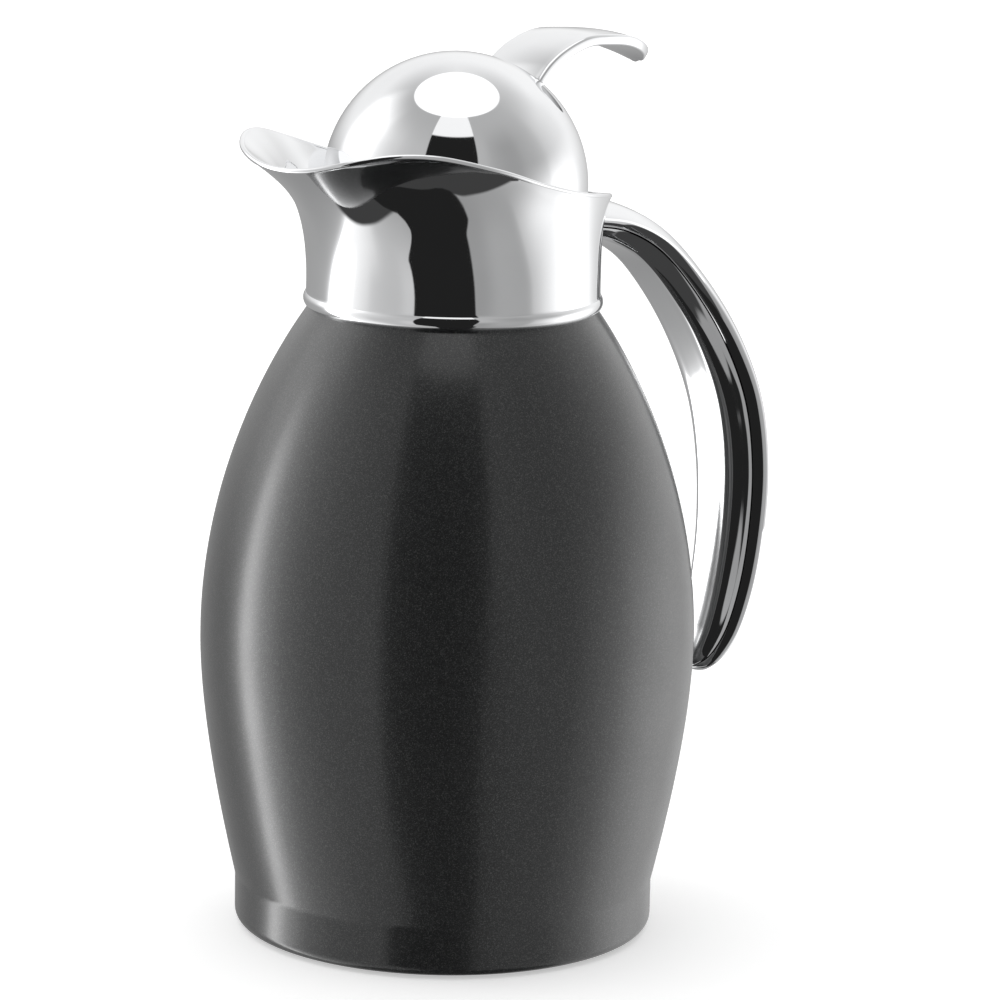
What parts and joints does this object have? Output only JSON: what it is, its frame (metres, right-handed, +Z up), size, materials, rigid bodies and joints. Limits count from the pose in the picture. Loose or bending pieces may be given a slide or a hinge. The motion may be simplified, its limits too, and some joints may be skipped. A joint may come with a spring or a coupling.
{
  "type": "vacuum carafe",
  "caption": "Double-walled vacuum carafe with a chrome pouring collar, a hinged ball lid with thumb lever and an arched handle.",
  "frame": {"origin": "centre of the base, on the surface that the carafe stands on", "axes": "+Z up along the body's axis, +X towards the handle, -X towards the spout, +Y to the right of someone who looks along +X"},
  "size_m": [0.1819, 0.13, 0.2351],
  "materials": {
    "chrome": "polished bright chrome plating",
    "powder_coat": "charcoal lacquer with fine metallic flecks, satin",
    "steel": "drawn stainless steel",
    "zinc": "die-cast zinc, tumbled",
    "getter_metal": "sintered metal, matte",
    "black_plastic": "moulded black polypropylene",
    "silicone": "translucent grey silicone",
    "rubber": "black rubber, matte",
    "foam": "cream rigid foam"
  },
  "bodies": {
    "carafe": {"outer_shell": "powder_coat", "inner_liner": "steel", "base_plate": "steel", "evacuation_plug": "getter_metal", "getter": "getter_metal", "base_pad": "rubber", "neck_ring": "black_plastic", "neck_gasket": "silicone", "funnel_insert": "black_plastic", "collar_screw_1": "steel", "collar_screw_2": "steel", "collar_screw_3": "steel", "spout_collar": "chrome", "handle_outer": "chrome", "handle_inner": "chrome", "handle_anchor": "zinc", "handle_screw_1": "steel", "handle_screw_2": "steel", "hinge_bracket": "steel", "hinge_pin": "steel", "pin_clip": "steel", "hinge_spring": "steel"},
    "lid": {"hinge_arm": "steel", "hinge_arm_screw_1": "steel", "hinge_arm_screw_2": "steel", "lid_dome": "chrome", "thumb_lever": "chrome", "lever_plate": "steel", "lever_screw_1": "steel", "lever_screw_2": "steel", "lid_insert": "black_plastic", "lid_insulation": "foam", "stopper_cone": "black_plastic", "stopper_seal": "silicone", "stopper_screw": "steel"}
  },
  "joints": [
    {"name": "lid_hinge", "type": "hinge", "parent": "carafe", "child": "lid", "pos_m": [0.038, 0, 0.196], "axis": [0, 1, 0], "range_deg": [0, 60], "stiffness_Nm_per_rad": 0.06, "springref_deg": -68.75, "deforming": ["hinge_spring"]}
  ]
}
